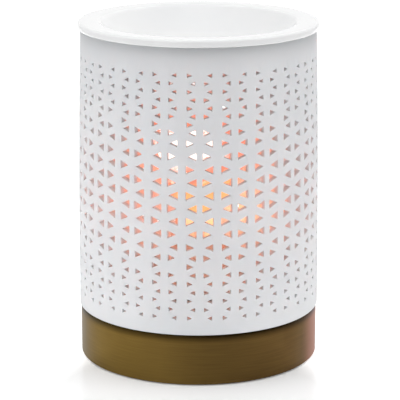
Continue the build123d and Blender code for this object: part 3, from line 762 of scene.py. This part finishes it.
def rounded_section(corners):
    """Points of a half section whose corners are arcs of their own radius."""
    outline = []
    for i, (r, z, size) in enumerate(corners):
        corner = Vector((r, z))
        if size == 0:
            outline.append(corner)
            continue
        before = (Vector(corners[i - 1][:2]) - corner).normalized()
        after = (Vector(corners[i + 1][:2]) - corner).normalized()
        half_angle = before.angle(after) / 2
        start = before * size / math.tan(half_angle)
        end = after * size / math.tan(half_angle)
        middle = (before + after).normalized() * size / math.sin(half_angle)
        for step in range(ROUND_STEPS + 1):
            way = (start - middle).lerp(end - middle, step / ROUND_STEPS)
            outline.append(corner + middle + way.normalized() * size)
    return outline


def turned_mesh(name, outline, segments):
    """Closed mesh of an outline that runs from the axis on top, round to the axis underneath."""
    points = [(0, 0, outline[0].y)]
    rings = []
    for p in outline[1:-1]:
        rings.append(len(points))
        for k in range(segments):
            angle = math.tau * k / segments
            points.append((p.x * math.cos(angle), p.x * math.sin(angle), p.y))
    points.append((0, 0, outline[-1].y))
    faces = []
    for k in range(segments):
        n = (k + 1) % segments
        faces.append((0, rings[0] + k, rings[0] + n))
        faces += [(first + k, second + k, second + n, first + n)
                  for first, second in zip(rings, rings[1:])]
        faces.append((len(points) - 1, rings[-1] + n, rings[-1] + k))
    mesh = bpy.data.meshes.new(name)
    mesh.from_pydata(points, [], faces)
    mesh.shade_smooth()
    mesh.set_sharp_from_angle(angle=SHARP_ANGLE)
    return mesh


def gloss_glaze():
    """Clear glaze on porcelain: a cool white with a wet, very slightly rippled gloss."""
    material, tree, shader = new_finish("gloss_glaze", "#F1F1F2", 0.12, Coat_Weight=0.6,
                                        Coat_Roughness=0.05)
    ripple = object_pattern(tree, GLAZE_RIPPLE)
    roughen(tree, shader, ripple.outputs["Fac"], GLAZE_RELIEF)
    pooling = object_pattern(tree, GLAZE_POOL)
    tint(tree, shader, pooling.outputs["Fac"], "#EFF0F1", "#F3F3F3")
    return material


turned_dish = bpy.data.objects.new(
    "turned_dish", turned_mesh("turned_dish", rounded_section(dish_corners()), TURNED_SEGMENTS))
bpy.context.scene.collection.objects.link(turned_dish)
turned_dish.data.materials.append(gloss_glaze())
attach(turned_dish, "dish")
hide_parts("dish")

# Lamp light: what the lamp sends through its red coat into the shade, so that the
# porcelain glows inside and in the holes' edges. By the dish and the deck it is
# paler, since the white walls have scattered it.
RED_LIGHT = (1.0, 0.18, 0.07)
AMBER_LIGHT = (1.0, 0.58, 0.18)
SCATTERED_LIGHT = (1.0, 0.82, 0.82)
LAMP_LIGHT_SIZE = 8 * MM


def lamp_light(name, place, colour, watts):
    """Small round light, at a place in millimetres, that the camera doesn't see."""
    light = bpy.data.lights.new(name, "POINT")
    light.energy = watts
    light.color = colour
    light.shadow_soft_size = LAMP_LIGHT_SIZE
    glow = bpy.data.objects.new(name, light)
    glow.location = [value * MM for value in place]
    glow.visible_camera = False
    bpy.context.scene.collection.objects.link(glow)


lamp_light("lamp_light_behind", (0, 32, 80), RED_LIGHT, 0.0185)
lamp_light("lamp_light_low", (0, 25, 50), SCATTERED_LIGHT, 0.006)
lamp_light("lamp_light_left", (-34, -4, 80), RED_LIGHT, 0.0125)
lamp_light("lamp_light_right", (34, -4, 78), RED_LIGHT, 0.0125)
lamp_light("lamp_light_amber", (16, 36, 54), AMBER_LIGHT, 0.007)
lamp_light("lamp_light_front_left", (-20, -34, 78), RED_LIGHT, 0.0035)
lamp_light("lamp_light_front_right", (20, -34, 78), RED_LIGHT, 0.0035)
lamp_light("lamp_light_low_front", (0, -34, 40), SCATTERED_LIGHT, 0.002)
lamp_light("lamp_light_above", (0, -34, 112), SCATTERED_LIGHT, 0.0016)

# Studio: a white floor with a faint gloss, a white room with one dark side, and
# seven soft lights. The floor is plain white to the eye, and its own light fades
# near the object: a painted shadow in front of it, over which its real shadow
# and reflection show.
FLOOR_SIZE = 8.0
FLOOR_COLOUR = "#F7F7F7"
FLOOR_GLOSS_SHARE = 0.1
FLOOR_ROUGHNESS = 0.06
FLOOR_LIFT = (0.13, 0.7)
SHADOW_MIDDLE = (-0.004, -0.07, 0)
SHADOW_REACH = (0.058, 0.078)
WHITE = (1, 1, 1, 1)
ROOM_LIGHT = 0.212
DARK_SIDE = (0.64, -0.77, 0)
DARK_SIDE_EDGE = (0.1, 0.8)
DARK_SIDE_LEVEL = 0.1
AIM_HEIGHT = 0.08


def background_rays(tree):
    """1 for what the eye, metal and glass see, 0 for what lights the object."""
    ray = add(tree, "ShaderNodeLightPath")
    seen_or_glossy = add(tree, "ShaderNodeMath",
                         {0: ray.outputs["Is Camera Ray"], 1: ray.outputs["Is Glossy Ray"]},
                         operation="MAXIMUM")
    return add(tree, "ShaderNodeMath",
               {0: seen_or_glossy.outputs["Value"], 1: ray.outputs["Is Transmission Ray"]},
               operation="MAXIMUM").outputs["Value"]


def studio_floor():
    """White acrylic sheet: plain white to the eye, with a faint reflection and a painted shadow in front
    of the object.
    """
    material = bpy.data.materials.new("white_acrylic")
    material.use_nodes = True
    tree = material.node_tree
    tree.nodes.clear()
    matt = add(tree, "ShaderNodeBsdfDiffuse", {"Color": linear(FLOOR_COLOUR)})
    gloss = add(tree, "ShaderNodeBsdfGlossy", {"Color": WHITE, "Roughness": FLOOR_ROUGHNESS})
    both = add(tree, "ShaderNodeMixShader",
               {0: FLOOR_GLOSS_SHARE, 1: matt.outputs[0], 2: gloss.outputs[0]})
    place = add(tree, "ShaderNodeTexCoord").outputs["Object"]
    away = add(tree, "ShaderNodeVectorMath", {0: place, 1: SHADOW_MIDDLE}, operation="DISTANCE")
    # Painted shadow: the floor's own light is lower in a patch in front of the object.
    lift_with_painted_shadow = add(tree, "ShaderNodeMapRange",
              {"Value": away.outputs["Value"], "From Min": SHADOW_REACH[0], "From Max": SHADOW_REACH[1],
               "To Min": FLOOR_LIFT[0], "To Max": FLOOR_LIFT[1]}, interpolation_type="SMOOTHSTEP")
    lift = add(tree, "ShaderNodeEmission", {"Color": WHITE})
    level = add(tree, "ShaderNodeMath",
                {0: background_rays(tree), 1: lift_with_painted_shadow.outputs["Result"]}, operation="MULTIPLY")
    tree.links.new(level.outputs["Value"], lift.inputs["Strength"])
    total = add(tree, "ShaderNodeAddShader", {0: both.outputs[0], 1: lift.outputs[0]})
    add(tree, "ShaderNodeOutputMaterial", {"Surface": total.outputs[0]})
    return material


half_floor = FLOOR_SIZE / 2
floor_corners = [(x * half_floor, y * half_floor, 0) for x, y in ((-1, -1), (1, -1), (1, 1), (-1, 1))]
floor_mesh = bpy.data.meshes.new("floor")
floor_mesh.from_pydata(floor_corners, [], [(0, 1, 2, 3)])
floor_mesh.materials.append(studio_floor())
floor = bpy.data.objects.new("floor", floor_mesh)
bpy.context.scene.collection.objects.link(floor)

world = bpy.data.worlds.new("white_room")
bpy.context.scene.world = world
world.use_nodes = True
room = world.node_tree
room.nodes.clear()
ray = add(room, "ShaderNodeLightPath")
way = add(room, "ShaderNodeTexCoord").outputs["Generated"]
to_dark = add(room, "ShaderNodeVectorMath", {0: way, 1: DARK_SIDE}, operation="DOT_PRODUCT")
dark_side = add(room, "ShaderNodeMapRange",
                {"Value": to_dark.outputs["Value"], "From Min": DARK_SIDE_EDGE[0],
                 "From Max": DARK_SIDE_EDGE[1], "To Min": 1.0, "To Max": DARK_SIDE_LEVEL},
                interpolation_type="SMOOTHSTEP")
white = add(room, "ShaderNodeMath",
            {0: ray.outputs["Is Camera Ray"], 1: dark_side.outputs["Result"]}, operation="MAXIMUM")
strength = add(room, "ShaderNodeMapRange",
               {"Value": background_rays(room), "To Min": ROOM_LIGHT, "To Max": white.outputs["Value"]})
sky = add(room, "ShaderNodeBackground", {"Color": WHITE, "Strength": strength.outputs["Result"]})
add(room, "ShaderNodeOutputWorld", {"Surface": sky.outputs[0]})


def soft_light(name, place, size, watts, aim_height=AIM_HEIGHT, spread=180):
    """Unseen square light that faces a height on the object's axis, with its spread in degrees."""
    light = bpy.data.lights.new(name, "AREA")
    light.size = size
    light.energy = watts
    light.spread = math.radians(spread)
    softbox = bpy.data.objects.new(name, light)
    softbox.location = place
    aim = Vector((0, 0, aim_height)) - Vector(place)
    softbox.rotation_euler = aim.to_track_quat("-Z", "Y").to_euler()
    softbox.visible_camera = False
    softbox.visible_glossy = False
    bpy.context.scene.collection.objects.link(softbox)


soft_light("left_softbox", (-0.45, -0.1, 0.11), 0.2, 0.205, aim_height=0, spread=110)
soft_light("right_softbox", (1.1, -0.1, 0.4), 0.6, 0.53)
soft_light("right_low_softbox", (1.1, -0.1, 0.15), 0.3, 0.3, aim_height=0, spread=60)
soft_light("top_softbox", (0, -0.33, 1.05), 0.7, 3.1)
soft_light("overhead_softbox", (0, -0.1, 1.1), 0.5, 4.6)
soft_light("back_softbox", (0.3, 0.9, 0.45), 0.6, 1.6)
soft_light("front_softbox", (0, -0.6, 0.09), 0.16, 0.155, aim_height=0, spread=100)

# Camera: a long lens, nearly twice as high as the object, looking down at its
# front. Its place, tilt and length were fitted to the outline and the holes.
FOCAL_PIXELS = 1952
PICTURE_PIXELS = 400
SENSOR = 36.0
CAMERA_PLACE = (0.65 * MM, -872 * MM, 298.3 * MM)
CAMERA_TILT = math.radians(90 - 14.61)
camera_data = bpy.data.cameras.new("camera")
camera_data.sensor_width = SENSOR
camera_data.lens = FOCAL_PIXELS / PICTURE_PIXELS * SENSOR
camera = bpy.data.objects.new("camera", camera_data)
camera.location = CAMERA_PLACE
camera.rotation_euler = (CAMERA_TILT, 0, 0)
bpy.context.scene.collection.objects.link(camera)
bpy.context.scene.camera = camera
bpy.context.scene.view_settings.view_transform = "Standard"
